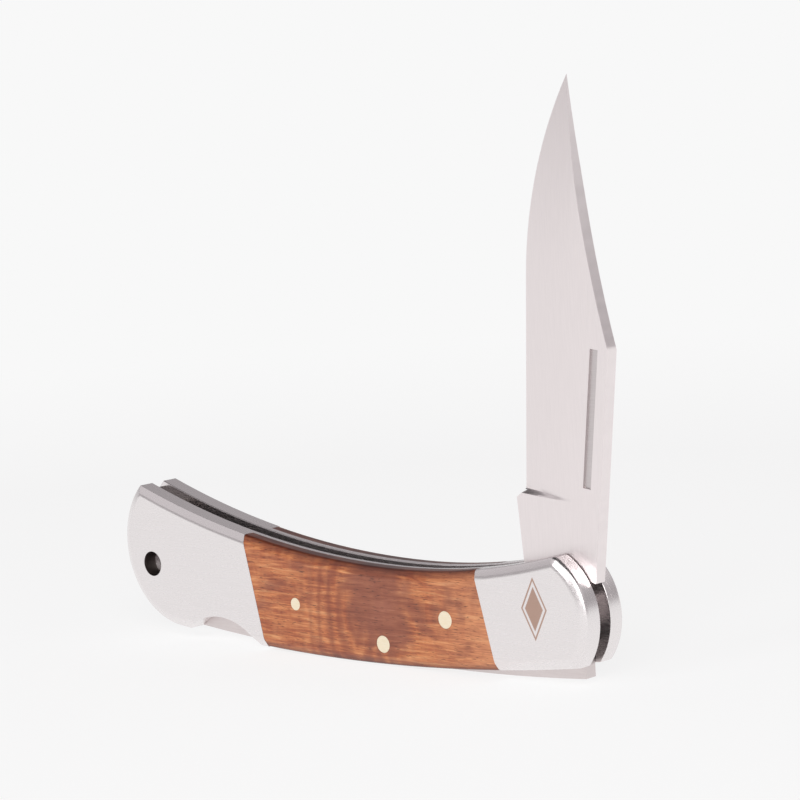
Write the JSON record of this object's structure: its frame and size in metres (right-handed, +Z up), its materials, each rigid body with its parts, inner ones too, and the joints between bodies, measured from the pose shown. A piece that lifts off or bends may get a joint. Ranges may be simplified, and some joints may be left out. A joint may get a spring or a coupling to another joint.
{
  "type": "folding lock-back pocket knife",
  "caption": "Folding lock-back knife, half open on its back: clip-point blade, rocking lock bar, steel bolsters, wood scales, thumb notch and lanyard hole.",
  "frame": {"origin": "middle of the bounding box, on the floor under the knife's back", "axes": "+X along the handle towards the nose, +Y towards the left side, +Z up, with the back down and the blade raised"},
  "size_m": [0.1206, 0.0108, 0.1041],
  "materials": {
    "blade_steel": "satin-ground stainless steel",
    "bolster_steel": "fine satin stainless steel with softly polished edges",
    "bar_steel": "ground spring steel",
    "liner_steel": "sheet steel, cut edge",
    "spring_steel": "tempered leaf spring",
    "washer_bronze": "thin bronze sheet",
    "brass_pin": "sanded flush with the wood",
    "scale_wood": "oiled reddish-brown hardwood, sanded and buffed"
  },
  "bodies": {
    "handle": {"back_spacer": "bar_steel", "blade_pivot_pin": "bolster_steel", "front_bolster_left": "bolster_steel", "front_bolster_right": "bolster_steel", "front_bolster_rivets_left": "liner_steel", "front_bolster_rivets_right": "liner_steel", "front_scale_pin_left": "brass_pin", "front_scale_pin_right": "brass_pin", "liner_left": "liner_steel", "liner_right": "liner_steel", "lock_spring": "spring_steel", "pivot_washer_left": "washer_bronze", "pivot_washer_right": "washer_bronze", "rear_bolster_left": "bolster_steel", "rear_bolster_right": "bolster_steel", "rear_bolster_rivets_left": "liner_steel", "rear_bolster_rivets_right": "liner_steel", "rear_scale_pin_left": "brass_pin", "rear_scale_pin_right": "brass_pin", "rocker_pin": "brass_pin", "spacer_pins": "liner_steel", "wood_scale_left": "scale_wood", "wood_scale_right": "scale_wood"},
    "blade": {"blade": "blade_steel"},
    "lock_bar": {"lock_bar": "bar_steel"}
  },
  "joints": [
    {"name": "blade_fold", "type": "hinge", "parent": "handle", "child": "blade", "pos_m": [0.04426, 0, 0.01286], "axis": [0, 1, 0], "range_deg": [-92.2, 76]},
    {"name": "bar_rock", "type": "hinge", "parent": "handle", "child": "lock_bar", "pos_m": [0.00796, 0, 0.00406], "axis": [0, 1, 0], "range_deg": [0, 1.2], "stiffness_Nm_per_rad": 1, "springref_deg": -11.46, "deforming": ["lock_spring"]}
  ]
}
